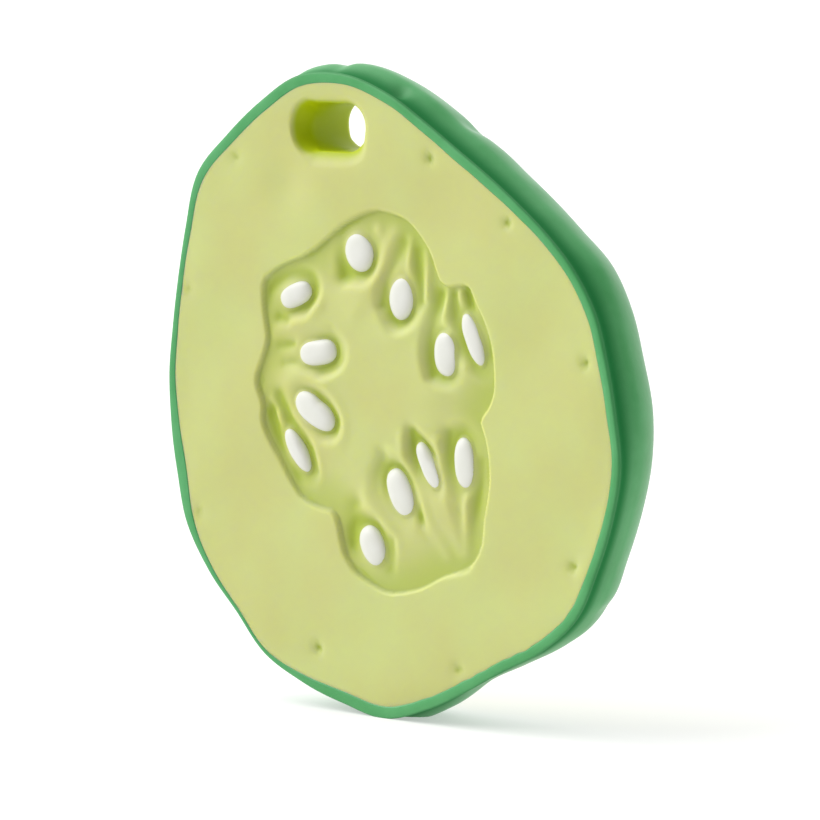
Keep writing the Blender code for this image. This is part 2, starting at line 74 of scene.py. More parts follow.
RIM_LUMPS = (
    (97, 6.0, 0.35, 9.0, 3.5), (104, 5.5, -0.5, 1.8, 3.5), (113, 4.0, 0.35, 5.0, 3.0),
    (89, 3.0, -0.8, 1.7, 1.1), (75, 8.0, -0.55, 2.6, 2.6), (66, 8.5, 0.25, 5.0, 3.0),
    (83, 4.5, 0.25, 3.5, 2.0), (50, 5.0, -0.25, 4.0, 2.5), (28, 5.0, 0.2, 6.0, 2.5),
    (325, 8.5, 0.1, 3.0, 3.0), (320, 8.0, -0.3, 2.0, 3.0), (314, 7.0, 0.15, 3.0, 3.0),
    (240, 6.0, 0.35, 7.0, 3.0), (226, 6.0, -0.4, 4.0, 3.0), (212, 6.0, 0.3, 7.0, 3.0),
    (190, 6.0, -0.35, 5.0, 3.0), (176, 6.0, 0.35, 8.0, 3.0), (158, 6.0, -0.4, 5.0, 3.0),
    (140, 6.0, 0.3, 8.0, 3.0),
)   # direction in degrees, depth, height, half-width along the rim in degrees, half-width across

CHAMBER_OUTLINE = (
    (4, 21.0), (24, 22.3), (40, 23.1), (47, 23.9), (50, 22.8), (54, 20.7), (60, 20.8), (68, 23.6),
    (81, 26.9), (94, 27.9), (106, 26.8), (121, 25.5), (130, 26.0), (139, 28.1), (147, 29.4),
    (154, 27.4), (163, 24.7), (171, 25.1), (179, 26.3), (187, 24.7), (193, 25.6), (208, 24.1),
    (225, 24.1), (232, 23.1), (241, 21.3), (246, 22.7), (251, 26.0), (258, 28.4), (271, 30.3),
    (284, 29.7), (293, 28.9), (304, 29.8), (311, 28.6), (318, 25.8), (330, 23.5), (344, 20.4),
    (352, 18.4), (358, 20.0),
)   # direction in degrees, mm from the slice's middle
OUTLINE_STEP = 3.0   # degrees
OUTLINE_SMOOTHING = (-2.0, -1.0, 0.0, 1.0, 2.0)   # degrees
CHAMBER_DEPTH = 0.8
CHAMBER_WALL = (-0.08, 0.34)   # mm inside the outline between which the floor drops
CHAMBER_RISE = (1.0, 11.0)   # mm inside the outline between which it rises again

SEEDS = (
    (-5.4, 21.0, 5.8, 5.2, 100, 2.0, ((-85, 0.08),)),
    (-18.0, 14.0, 6.2, 3.4, 25, 2.5, ()),
    (2.9, 14.5, 6.5, 4.6, 78, 1.9, ()),
    (-13.6, 5.4, 6.8, 3.8, 9, 2.4, ((38, 0.10),)),
    (11.4, 6.8, 6.5, 4.4, 89, 2.2, ((-150, 0.05),)),
    (16.8, 9.3, 8.1, 3.1, 113, 2.1, ((30, 0.04),)),
    (-14.2, -3.6, 8.2, 4.1, 148, 2.3, ((-90, -0.06), (-38, 0.05), (40, 0.04))),
    (-17.7, -9.8, 7.5, 2.8, 126, 2.3, ()),
    (2.7, -14.5, 7.5, 4.3, 121, 2.3, ()),
    (8.1, -10.0, 7.6, 2.7, 123, 2.4, ()),
    (15.1, -9.1, 7.5, 3.9, 97, 2.2, ()),
    (-2.8, -23.0, 6.2, 4.3, 124, 2.2, ((160, 0.06),)),
)   # middle X and Z, length, width, lean, squareness, and bulges or dents (direction, share)
BULGE_SPREAD = 0.45   # radians
SEED_HEIGHT = 1.45
POCKET_DEPTH = 1.3
POCKET_REACH = 1.5
POCKET_SHALLOW = 0.4   # share of the depth at the seed's outer end
POCKET_RIM = (0.2, 2.6, 1.0)   # height, distance from the seed, half-width
SKIRT_HEIGHT = 0.3
SKIRT_REACH = (-0.05, 0.5)   # mm outside the seed between which its skirt falls

STROKES = (
    (((-8.2, 17.6), (-7.5, 22.4)), 1.7, -1.2, 0.3),
    (((-16.0, 11.9), (-14.5, 15.4), (-16.5, 16.9), (-22.5, 15.4), (-24.5, 12.9)), 1.2, -0.5, 0.6),
    (((-20.0, 10.0), (-21.5, 10.4)), 1.0, -0.5, 1.0),
    (((-0.7, 13.6), (0.5, 17.9), (3.0, 22.9)), 1.25, -0.85, 0.4),
    (((6.5, 14.4), (6.0, 21.9)), 1.0, -0.6, 0.5),
    (((-13.0, 2.7), (-9.0, 3.9), (-8.2, 6.9), (-10.5, 8.9)), 1.1, -0.55, 0.5),
    (((-18.5, 6.4), (-21.5, 6.1)), 0.8, -0.45, 0.5),
    (((-17.5, 3.9), (-20.5, 3.4)), 0.8, -0.45, 0.5),
    (((9.0, 3.6), (8.5, 8.9), (10.5, 15.4)), 1.25, -0.9, 0.5),
    (((13.5, 11.4), (13.0, 15.9)), 1.1, -0.6, 0.6),
    (((16.2, 13.4), (15.6, 16.4)), 0.9, -0.7, 0.8),
    (((20.0, 7.4), (18.4, 11.9)), 0.8, -0.6, 0.6),
    (((-18.5, -6.6), (-21.5, -1.6)), 1.1, -0.9, 0.5),
    (((-10.0, -4.6), (-10.3, -6.6)), 0.9, -0.5, 0.8),
    (((-23.0, -4.1), (-21.5, -8.6), (-18.0, -13.6)), 1.4, -0.6, 0.6),
    (((-15.3, -9.6), (-14.0, -12.6)), 0.8, -0.45, 0.8),
    (((-0.5, -9.2), (-2.0, -12.6), (-1.0, -16.1), (3.5, -20.1)), 1.3, -0.75, 0.2),
    (((6.0, -16.6), (8.0, -20.6)), 0.9, -1.1, 0.1),
    (((5.0, -5.2), (5.5, -9.6), (8.0, -14.6), (10.8, -20.6)), 1.3, -0.9, 0.1),
    (((12.0, -5.0), (12.0, -9.1), (13.5, -13.6), (15.2, -19.6)), 1.2, -0.8, 0.1),
    (((17.8, -9.0), (17.5, -14.6), (16.6, -20.6)), 1.0, -0.6, 0.1),
    (((-6.4, -22.6), (-6.0, -17.6)), 1.8, -0.85, 0.5),
    (((1.0, -22.1), (0.5, -26.0)), 1.1, -0.65, 0.6),
    (((-6.0, 11.9), (-2.0, 16.9), (1.5, 23.9)), 1.5, 0.6, 0.6),
    (((4.5, 18.4), (4.5, 23.4)), 0.7, 0.55, 0.4),
    (((8.0, 14.9), (7.8, 21.4)), 0.8, 0.5, 0.5),
    (((11.5, 11.2), (12.0, 17.9)), 0.7, 0.65, 0.5),
    (((15.0, 12.9), (14.2, 16.9)), 0.7, 0.65, 0.8),
    (((15.5, 5.4), (14.2, 11.4)), 0.9, 0.5, 0.8),
    (((-13.0, 12.4), (-22.5, 7.9)), 1.4, 0.6, 0.4),
    (((-8.0, 0.9), (-19.0, 0.9)), 1.8, 0.35, 0.4),
    (((-20.2, -6.8), (-23.0, -2.4)), 0.7, 0.6, 0.5),
    (((3.5, -6.1), (5.2, -12.1), (7.6, -16.1), (11.6, -23.1)), 1.0, 0.65, 0.3),
    (((10.0, -6.6), (11.0, -13.1), (14.4, -22.6)), 0.9, 0.6, 0.3),
    (((15.7, -13.8), (15.4, -22.6)), 0.8, 0.65, 0.3),
    (((-4.0, -15.6), (-0.5, -19.8), (2.5, -22.6)), 1.2, 0.45, 0.3),
)   # points of the middle line, half-width, height (negative for a trough), share left at its end
STROKE_STEPS = 4   # straight runs between two points of a stroke's curve
STROKE_FADE = (0.0, 1.5)   # mm inside the chamber's outline
STROKE_TAPER = (0.2, 1.0)   # share of the line between which its height falls to what is left
RIDGE_FADE = 0.7   # share of a ridge's height that it loses where the floor has risen

PITS = (
    (-30.1, 34.8), (8.7, 35.8), (23.5, 27.0), (38.0, 7.2), (-40.0, 13.8), (-38.0, -20.9),
    (-13.5, -39.8), (14.4, -40.2), (35.8, -22.7),
)   # middle X and Z; most lie outside the back face, which is smaller
PIT_DEPTH = 0.7
PIT_RADIUS = 1.1
PIT_STEEPNESS = 1.5

FACE_WAVES = (
    (0.05, 0.196, 0.137, 0.6), (0.05, 0.196, -0.137, 0.6), (0.08, -0.111, 0.227, 0.0),
)   # height, turn per mm along X and along Z, and start
CHAMBER_CALM = 0.5   # share of the waves and swells that is lost in the chamber
FACE_SWELLS = (
    (-19.7, 30.6, -0.4, 3.6), (-13.2, 29.2, 0.12, 3.4), (-28.0, 33.0, 0.1, 4.0),
    (-31.0, 8.0, -0.3, 6.0), (-32.0, -9.0, 0.1, 6.0), (12.0, 30.0, -0.2, 6.0),
    (28.0, 10.0, -0.3, 6.0), (29.0, -12.0, 0.1, 7.0),
    (22.0, -28.0, -0.25, 6.0), (4.0, -38.0, 0.1, 6.0), (-16.0, -30.0, -0.25, 6.0),
    (-2.0, 3.0, -0.15, 7.0), (-1.7, 24.6, 0.6, 0.9),
)   # middle X and Z, height, and reach of the face's soft hills and hollows
FACE_EDGE = (0.93, 1.0)   # share of the face's radius between which its relief fades out

HOLE_X = -10.35
HOLE_Z = 39.65
HOLE_WIDTH = 12.9
HOLE_HEIGHT = 7.3
HOLE_LEAN = 0.9   # how far the hole's middle shifts to the right from the front face to the back
LIP_ROUND = 1.4   # radius of the hole's lip at its ends and top
LIP_BEVEL = (2.5, 1.2)   # width and depth of the bevel below the hole
BEVEL_POWER = 1.5
BEVEL_ENDS = (0.1, 0.6)   # how far a direction points down where the bevel starts and is full
BEVEL_SHIFT = (0.4, 0.35)   # how much further down these are at the flared end
LIP_FLARE = (1.6, 3.4)   # width and depth of the flare at the hole's left end, on the front
FLARE_POWER = 1.2
FLARE_ENDS = (0.6, 0.97)   # how far a direction points left where the flare starts and is full
LEFT_END = (0.2, 0.8)   # the same where the bevel gives way to the flare
hole_direction = math.degrees(math.atan2(HOLE_Z, HOLE_X))

# Under the rim's paint the rubber lies a little deeper, from both edges of the paint inward.
PAINT_SINK = 0.3
SINK_RUN = 0.05   # share of the rim's section
LIP_CLEARANCE = 0.13   # share of the rim's section that the paint leaves free above the hole's lip
LIP_CLEARANCE_SPREAD = 15.0   # degrees


def curve_round(values, degrees):
    """Closed Catmull-Rom curve through equally spaced values, read at directions in degrees."""
    values = np.asarray(values)
    place = np.mod(degrees, 360.0) / 360.0 * len(values)
    index = np.floor(place).astype(int)
    part = place - index
    before, here, after, beyond = (values[(index + step) % len(values)] for step in (-1, 0, 1, 2))
    return 0.5 * (2 * here + (after - before) * part
                  + (2 * before - 5 * here + 4 * after - beyond) * part ** 2
                  + (3 * here - before - 3 * after + beyond) * part ** 3)


def curve_along(points, place):
    """Open Catmull-Rom curve through the points, read at places from 0 to 1."""
    points = np.asarray(points, dtype=float)
    padded = np.vstack([2 * points[0] - points[1], points, 2 * points[-1] - points[-2]])
    place = np.clip(place, 0.0, 1.0) * (len(points) - 1)
    index = np.minimum(np.floor(place).astype(int), len(points) - 2)
    part = (place - index)[..., None]
    before, here, after, beyond = (padded[index + step] for step in (0, 1, 2, 3))
    return 0.5 * (2 * here + (after - before) * part
                  + (2 * before - 5 * here + 4 * after - beyond) * part ** 2
                  + (3 * here - before - 3 * after + beyond) * part ** 3)


def ease(value, low, high):
    """0 below low, 1 above high, and the S-curve 3s^2 - 2s^3 of the share s between them."""
    share = np.clip((value - low) / (high - low), 0.0, 1.0)
    return share * share * (3.0 - 2.0 * share)


def along_line(x, z, points):
    """Shortest distance from each (x, z) to a broken line, and the share of it run there.

    The distance is the least over the straight runs, each of which is the same share of the line.
    """
    nearest = np.full(np.shape(x), np.inf)
    place = np.zeros(np.shape(x))
    for index, ((x0, z0), (x1, z1)) in enumerate(zip(points[:-1], points[1:])):
        run_x, run_z = x1 - x0, z1 - z0
        share = ((x - x0) * run_x + (z - z0) * run_z) / (run_x ** 2 + run_z ** 2)
        share = np.clip(share, 0.0, 1.0)
        away = np.hypot(x - x0 - share * run_x, z - z0 - share * run_z)
        place = np.where(away < nearest, (index + share) / (len(points) - 1), place)
        nearest = np.minimum(nearest, away)
    return nearest, place


def chamber_radius(degrees):
    """Radius of the chamber's outline: straight between its points, then a mean over 4 degrees."""
    directions = [row[0] for row in CHAMBER_OUTLINE]
    radii = [row[1] for row in CHAMBER_OUTLINE]
    return np.mean([np.interp(degrees + shift, directions, radii, period=360.0)
                    for shift in OUTLINE_SMOOTHING], axis=0)


def inside_chamber(x, z):
    """Distance to the chamber's outline, positive inside it and negative outside."""
    steps = np.arange(0.0, 361.0, OUTLINE_STEP)
    outline_x = chamber_radius(steps) * np.cos(np.radians(steps))
    outline_z = chamber_radius(steps) * np.sin(np.radians(steps))
    nearest = along_line(x, z, list(zip(outline_x, outline_z)))[0]
    degrees = np.degrees(np.arctan2(z, x))
    return np.where(np.hypot(x, z) < chamber_radius(degrees), nearest, -nearest)


def seed_radius(turn, seed):
    """Radius of a seed's outline at a turn from its long axis.

    It is a superellipse of the seed's length and width, times 1 plus a bell curve for each bulge.
    """
    length, width, squareness, bulges = seed[2], seed[3], seed[5], seed[6]
    along = np.abs(np.cos(turn)) / (length / 2)
    across = np.abs(np.sin(turn)) / (width / 2)
    radius = (along ** squareness + across ** squareness) ** (-1.0 / squareness)
    for direction, share in bulges:
        gap = np.mod(turn - math.radians(direction) + math.pi, 2 * math.pi) - math.pi
        radius = radius * (1.0 + share * np.exp(-(gap / BULGE_SPREAD) ** 2))
    return radius


def seed_place(x, z, seed):
    """Distance and turn of each (x, z) from a seed's middle, the turn from its long axis."""
    lean = math.radians(seed[4])
    along = (x - seed[0]) * math.cos(lean) + (z - seed[1]) * math.sin(lean)
    across = -(x - seed[0]) * math.sin(lean) + (z - seed[1]) * math.cos(lean)
    return np.hypot(along, across), np.arctan2(across, along)


def core_side(x, z, seed):
    """1 on a seed's side towards the slice's core, 0 on its outer side, (1 + cosine) / 2 between."""
    away_x, away_z = x - seed[0], z - seed[1]
    towards = -(away_x * seed[0] + away_z * seed[1]) / math.hypot(seed[0], seed[1])
    return (1.0 + towards / np.maximum(np.hypot(away_x, away_z), 1e-6)) / 2.0


def face_height(x, z):
    """Height of the rubber above the face's plane at (x, z) from the slice's middle.

    It is the sum of faint waves and swells, minus the chamber's floor, which rises again towards the
    core, plus a bell-shaped ridge or trough along each stroke, which fades towards its end. Round
    each seed it rises in a low rim, is pulled to the pocket's depth, which is less on the outer side,
    and rises in a low skirt under the seed. Each pit takes a bell curve off it.
    """
    inward = inside_chamber(x, z)
    wall = ease(inward, *CHAMBER_WALL)
    rise = ease(inward, *CHAMBER_RISE)
    height = np.zeros(np.shape(x))
    for lift, along_x, along_z, start in FACE_WAVES:
        height = height + lift * np.sin(along_x * x + along_z * z + start)
    for hill_x, hill_z, lift, reach in FACE_SWELLS:
        height = height + lift * np.exp(-((x - hill_x) ** 2 + (z - hill_z) ** 2) / reach ** 2)
    height = height * (1.0 - CHAMBER_CALM * wall) - CHAMBER_DEPTH * wall * (1.0 - rise)
    in_chamber = ease(inward, *STROKE_FADE)
    for points, half_width, lift, share_left in STROKES:
        steps = np.linspace(0.0, 1.0, STROKE_STEPS * (len(points) - 1) + 1)
        away, place = along_line(x, z, curve_along(points, steps))
        fade = 1.0 - RIDGE_FADE * rise if lift > 0.0 else 1.0
        fade = fade * (1.0 - (1.0 - share_left) * ease(place, *STROKE_TAPER))
        height = height + lift * fade * np.exp(-(away / half_width) ** 2) * in_chamber
    for seed in SEEDS:
        away, turn = seed_place(x, z, seed)
        beside = away - seed_radius(turn, seed)
        pocket = np.exp(-(np.maximum(beside, 0.0) / POCKET_REACH) ** 2)
        coreward = core_side(x, z, seed)
        deep = POCKET_DEPTH * (POCKET_SHALLOW + (1.0 - POCKET_SHALLOW) * coreward)
        rim_lift, rim_away, rim_width = POCKET_RIM
        height = height + rim_lift * coreward * np.exp(-((beside - rim_away) / rim_width) ** 2)
        height = height - (height + deep) * pocket
        height = height + SKIRT_HEIGHT * (1.0 - ease(beside, *SKIRT_REACH))
    for pit_x, pit_z in PITS:
        pit = np.hypot(x - pit_x, z - pit_z) / PIT_RADIUS
        height = height - PIT_DEPTH * np.exp(-PIT_STEEPNESS * pit ** PIT_STEEPNESS)
    return height


def edge_radius(degrees):
    """Radius of the face's edge, where the lip of the rim starts."""
    return curve_round(EDGE_RADII, degrees)


def crest_radius(degrees):
    """Radius of the rim's front crest: the face's edge and the lip's width."""
    return edge_radius(degrees) + curve_round(LIP_WIDTHS, degrees)


def back_edge_radius(degrees):
    """Radius of the back face's edge: the crest's, less the inset and with the side's swell."""
    return crest_radius(degrees) - BACK_INSET + curve_round(SIDE_SWELLS, degrees)


def rim_lumps(degrees, depth):
    """How far the rim's lumps stand out: a bell curve in direction and depth for each."""
    height = np.zeros(np.shape(degrees))
    for direction, middle, lift, half_turn, half_depth in RIM_LUMPS:
        gap = np.abs(np.mod(degrees - direction + 180.0, 360.0) - 180.0)
        height = height + lift * np.exp(-(gap / half_turn) ** 2 - ((depth - middle) / half_depth) ** 2)
    return height


def front_depth(x, z):
    """Depth of the front face behind its plane: minus its height, which fades out at the edge."""
    share = np.hypot(x, z) / edge_radius(np.degrees(np.arctan2(z, x)))
    return -face_height(x, z) * (1.0 - ease(share, *FACE_EDGE))


def back_depth(x, z):
    """Depth of the back face: the thickness plus its height, or the rim's section past its edge.

    Under the paint, past the edge, it lies deeper by the paint's sink.
    """
    degrees = np.degrees(np.arctan2(z, x))
    share = np.hypot(x, z) / back_edge_radius(degrees)
    past_crest = np.hypot(x, z) - back_edge_radius(degrees) - BACK_INSET
    section = np.array(LIP_SECTION + SIDE_SECTION)
    place = np.linspace(1.0, 2.0, len(section))
    turned_in = np.flatnonzero(section[:, 1] > BACK_ROUNDING)[::-1]
    rounding = np.interp(past_crest, section[turned_in, 0], section[turned_in, 1])
    under_paint = paint_end(degrees) - np.interp(past_crest, section[turned_in, 0], place[turned_in])
    sunk = PAINT_SINK * ease(under_paint, 0.0, SINK_RUN)
    return rounding + face_height(x, z) * (1.0 - ease(share, *FACE_EDGE)) - sunk


def paint_end(degrees):
    """Place along the slice's section where the rim's paint ends on the back.

    It is the back face's edge, less a bell curve of the direction that keeps clear of the hole's lip.
    """
    gap = np.mod(degrees - hole_direction + 180.0, 360.0) - 180.0
    return 2.0 - LIP_CLEARANCE * np.exp(-(gap / LIP_CLEARANCE_SPREAD) ** 2)


def slice_point(degrees, place):
    """Point of the slice for a direction round it and a place along its section, in millimetres.

    The place is 0 at the middle of the front face, 1 at its edge, 2 at the back face's edge and 3 at
    that face's middle. Each face is a share of its edge's radius with its height added. The rim is
    its section carried round the crest, with the side's swell and the lumps added.
    """
    turn = np.radians(degrees)
    crest = crest_radius(degrees)
    swell = curve_round(SIDE_SWELLS, degrees)
    over_rim = np.clip(place - 1.0, 0.0, 1.0)
    section = curve_along(LIP_SECTION + SIDE_SECTION, over_rim)
    past_crest, depth = section[..., 0], section[..., 1]
    on_lip = over_rim < len(LIP_SECTION) / (len(LIP_SECTION + SIDE_SECTION) - 1)
    past_crest = past_crest * np.where(on_lip, crest - edge_radius(degrees), 1.0)
    past_crest = past_crest + rim_lumps(degrees, depth) * ease(depth, *LUMP_DEPTHS)
    past_crest = past_crest + swell * ease(depth, *SWELL_DEPTHS)

    front_radius = place * edge_radius(degrees)
    back_radius = (3.0 - place) * back_edge_radius(degrees)
    radius = np.where(place < 1.0, front_radius, np.where(place > 2.0, back_radius, crest + past_crest))
    x = radius * np.cos(turn)
    z = radius * np.sin(turn)
    on_face = (place < 1.0) | (place > 2.0)
    height = np.zeros(np.shape(x))
    height[on_face] = face_height(x[on_face], z[on_face])
    share = np.where(place < 1.0, place, 3.0 - place)
    height = height * (1.0 - ease(share, *FACE_EDGE))
    depth = np.where(place < 1.0, -height, np.where(place > 2.0, THICKNESS + height, depth))
    return np.stack([x, depth, z], axis=-1)


def grid_faces(rows, columns, closed):
    """Quads of a grid whose points are numbered row by row. A closed grid joins its last column."""
    row, column = np.meshgrid(np.arange(rows - 1), np.arange(columns if closed else columns - 1),
                              indexing="ij")
    beside = (column + 1) % columns
    return np.stack([row * columns + column, (row + 1) * columns + column,
                     (row + 1) * columns + beside, row * columns + beside], axis=-1)


def grid_normals(points):
    """Unit normal at each grid point: the cross product of the steps along rows and columns."""
    down = np.gradient(points, axis=0)
    along = np.roll(points, -1, axis=1) - np.roll(points, 1, axis=1)
    normal = np.cross(down, along)
    return normal / np.maximum(np.linalg.norm(normal, axis=-1, keepdims=True), 1e-9)


def oblong_radius(away_x, away_z, half_straight, end_radius):
    """Distance from an oblong's middle to its edge along unit directions (away_x, away_z)."""
    flat = end_radius / np.maximum(np.abs(away_z), 1e-6)
    root = np.sqrt(np.maximum(end_radius ** 2 - (half_straight * away_z) ** 2, 0.0))
    return np.where(flat * np.abs(away_x) <= half_straight, flat,
                    half_straight * np.abs(away_x) + root)


def add_piece(name, points, faces):
    """Mesh object of a piece from points in slice millimetres and its quads and triangles."""
    placed = points + np.array([MIDDLE_X, -THICKNESS / 2, MIDDLE_Z])
    mesh = bpy.data.meshes.new(name)
    mesh.from_pydata((placed * MM).tolist(), [], faces)
    mesh.shade_smooth()
    piece = bpy.data.objects.new(name, mesh)
    bpy.context.scene.collection.objects.link(piece)
    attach(piece, "root")
    return piece


# The grid runs from the middle of the front face over the rim to the middle of the back face. It
# leaves out a block of cells round the hole on each face, and a tube joins the edges of the blocks.
COLUMNS = 384
BLOCK_COLUMNS = 28
BLOCK_ROWS = 20
BACK_BLOCK_ROW = 36   # row of the rim where the back's block starts
CORE_ROWS = 5
CHAMBER_ROWS = 98
OUTER_ROWS = 22
RIM_ROWS = 42
BACK_OUTER_ROWS = 13
BACK_OUTLINE_ROWS = 40
BACK_CHAMBER_ROWS = 20
BACK_CORE_ROWS = 3
FRONT_PLACES = (0.0, 0.11, 0.66, 1.0)   # of the core's, the chamber's and the outer face's ends
BACK_PLACES = (0.0, 0.29, 0.585, 0.88, 1.0)   # from the edge in, past 2
column_step = 360.0 / COLUMNS
column_degrees = hole_direction + (np.arange(COLUMNS) - BLOCK_COLUMNS / 2) * column_step
front_counts = (CORE_ROWS, CHAMBER_ROWS, OUTER_ROWS)
back_counts = (BACK_OUTER_ROWS, BACK_OUTLINE_ROWS, BACK_CHAMBER_ROWS, BACK_CORE_ROWS)
row_places = np.concatenate([
    *(np.linspace(start, end, count + 1)[1:]
      for start, end, count in zip(FRONT_PLACES[:-1], FRONT_PLACES[1:], front_counts)),
    1.0 + np.linspace(0.0, 1.0, RIM_ROWS + 1)[1:],
    *(2.0 + np.linspace(start, end, count + 1)[1:]
      for start, end, count in zip(BACK_PLACES[:-1], BACK_PLACES[1:], back_counts)),
])[:-1]
row_grid, column_grid = np.meshgrid(row_places, column_degrees, indexing="ij")
slice_grid = slice_point(column_grid, row_grid)
under_paint = np.minimum(row_grid - 1.0, paint_end(column_grid) - row_grid)
sink = PAINT_SINK * ease(under_paint, 0.0, SINK_RUN)
slice_grid = slice_grid - grid_normals(slice_grid) * sink[..., None]
floor_level = -MIDDLE_Z   # the slice's foot is flat there
slice_grid[..., 2] = np.maximum(slice_grid[..., 2], floor_level + PAINT_SINK)

front_inner = CORE_ROWS + CHAMBER_ROWS
front_outer = front_inner + BLOCK_ROWS
back_outer = front_inner - 1 + OUTER_ROWS + BACK_BLOCK_ROW
back_inner = back_outer + BLOCK_ROWS


def block_loop(inner, outer):
    """Numbers of the grid points round a block: along its inner row, out, back and in again."""
    step = 1 if outer > inner else -1
    across = np.arange(BLOCK_COLUMNS)
    outward = np.arange(inner, outer, step)
    return np.concatenate([
        inner * COLUMNS + across,
        outward * COLUMNS + BLOCK_COLUMNS,
        outer * COLUMNS + BLOCK_COLUMNS - across,
        (outward + step)[::-1] * COLUMNS,
    ])


front_loop = block_loop(front_inner, front_outer)
back_loop = block_loop(back_inner, back_outer)
slice_points = slice_grid.reshape(-1, 3)
hole_middle = np.array([HOLE_X - HOLE_LEAN / 2, HOLE_Z])
front_away = slice_points[front_loop][:, [0, 2]] - hole_middle
back_away = slice_points[back_loop][:, [0, 2]] - hole_middle
half_straight = (HOLE_WIDTH - HOLE_HEIGHT) / 2
GAP_RINGS = 5
LIP_RINGS = 12
WALL_RINGS = 12


def lip_ring(away, bend, flared):
    """Ring on a lip, from the face at a bend of 90 degrees to the hole's wall at 0, and its depth.

    At the ends and the top the oblong grows by the lip's radius times 1 - cos(bend), and the depth is
    the radius times 1 - sin(bend). Below the hole it grows by the bevel's width times s, the share of
    the bend, and the depth is the bevel's depth times 1 - s to the bevel's power. The flare at the
    left end is the same with its own width, depth and power, and the bevel starts lower beside it.
    """
    unit = away / np.linalg.norm(away, axis=1, keepdims=True)
    at_left = flared * ease(-unit[:, 0], *LEFT_END)
    below = ease(-unit[:, 1], BEVEL_ENDS[0] + BEVEL_SHIFT[0] * at_left,
                 BEVEL_ENDS[1] + BEVEL_SHIFT[1] * at_left)
    flare = flared * ease(-unit[:, 0], *FLARE_ENDS) * (1.0 - below)
    rounded = 1.0 - below - flare
    share = bend / (math.pi / 2)
    reach = rounded * LIP_ROUND * (1.0 - math.cos(bend))
    reach = reach + (below * LIP_BEVEL[0] + flare * LIP_FLARE[0]) * share
    depth = rounded * LIP_ROUND * (1.0 - math.sin(bend))
    depth = depth + below * LIP_BEVEL[1] * (1.0 - share) ** BEVEL_POWER
    depth = depth + flare * LIP_FLARE[1] * (1.0 - share) ** FLARE_POWER
    grown = oblong_radius(unit[:, 0], unit[:, 1], half_straight, HOLE_HEIGHT / 2 + reach)
    return hole_middle + unit * grown[:, None], depth


tube = []
for step in range(1, GAP_RINGS):
    share = step / GAP_RINGS
    ring = (1.0 - share) * (hole_middle + front_away) + share * lip_ring(front_away, math.pi / 2, 1.0)[0]
    tube.append(np.column_stack([ring[:, 0], front_depth(ring[:, 0], ring[:, 1]), ring[:, 1]]))
for step in range(LIP_RINGS):
    bend = math.pi / 2 * (1.0 - step / LIP_RINGS)
    ring, depth = lip_ring(front_away, bend, 1.0)
    face = front_depth(ring[:, 0], ring[:, 1]) * math.sin(bend)
    tube.append(np.column_stack([ring[:, 0], depth + face, ring[:, 1]]))
for step in range(WALL_RINGS + 1):
    share = step / WALL_RINGS
    away = (1.0 - share) * front_away + share * back_away
    ring, near = lip_ring(away, 0.0, 1.0)
    far = lip_ring(away, 0.0, 0.0)[1]
    depth = near + share * (THICKNESS - near - far)
    tube.append(np.column_stack([ring[:, 0] + HOLE_LEAN * share, depth, ring[:, 1]]))
for step in range(1, LIP_RINGS + 1):
    bend = math.pi / 2 * step / LIP_RINGS
    ring, depth = lip_ring(back_away, bend, 0.0)
    ring[:, 0] += HOLE_LEAN
    face = (back_depth(ring[:, 0], ring[:, 1]) - THICKNESS) * math.sin(bend)
    tube.append(np.column_stack([ring[:, 0], THICKNESS - depth + face, ring[:, 1]]))
for step in range(1, GAP_RINGS):
    share = 1.0 - step / GAP_RINGS
    lip_edge = lip_ring(back_away, math.pi / 2, 0.0)[0] + [HOLE_LEAN, 0.0]
    ring = (1.0 - share) * (hole_middle + back_away) + share * lip_edge
    tube.append(np.column_stack([ring[:, 0], back_depth(ring[:, 0], ring[:, 1]), ring[:, 1]]))

rows = len(row_places)
sheet = grid_faces(rows, COLUMNS, closed=True)
keep = np.ones(sheet.shape[:2], dtype=bool)
keep[front_inner:front_outer, :BLOCK_COLUMNS] = False
keep[back_outer:back_inner, :BLOCK_COLUMNS] = False
tube_start = len(slice_points)
tube_numbers = np.vstack([
    front_loop,
    tube_start + np.arange(len(tube) * len(front_loop)).reshape(len(tube), -1),
    back_loop,
])
tube_cells = grid_faces(len(tube_numbers), len(front_loop), closed=True).reshape(-1, 4)
tube_faces = tube_numbers.ravel()[tube_cells]
poles = tube_start + len(tube) * len(front_loop) + np.array([0, 1])
around = np.arange(COLUMNS)
first_fan = np.column_stack([np.full(COLUMNS, poles[0]), around, (around + 1) % COLUMNS])
last_row = (rows - 1) * COLUMNS
last_fan = np.column_stack([last_row + around, np.full(COLUMNS, poles[1]),
                            last_row + (around + 1) % COLUMNS])
core_height = float(face_height(np.zeros(1), np.zeros(1))[0])
all_points = np.vstack([slice_points, *tube,
                        [[0.0, -core_height, 0.0], [0.0, THICKNESS + core_height, 0.0]]])
quads = np.vstack([sheet[keep], tube_faces])
fans = np.vstack([first_fan, last_fan])
used, numbers = np.unique(np.concatenate([quads.ravel(), fans.ravel()]), return_inverse=True)
quads = numbers[:quads.size].reshape(-1, 4)
fans = numbers[quads.size:].reshape(-1, 3)
moulding_points = all_points[used]
moulding = add_piece("moulded_slice", moulding_points, quads.tolist() + fans.tolist())
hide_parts("teether_body")


def srgb(code):
    """Linear colour of an sRGB hex code.

    Each channel c turns to (c + 0.055) / 1.055 to the power 2.4, or to c / 12.92 where it is dark.
    """
    channels = [int(code[i:i + 2], 16) / 255.0 for i in (1, 3, 5)]
    linear = [c / 12.92 if c <= 0.04045 else ((c + 0.055) / 1.055) ** 2.4 for c in channels]
    return (*linear, 1.0)


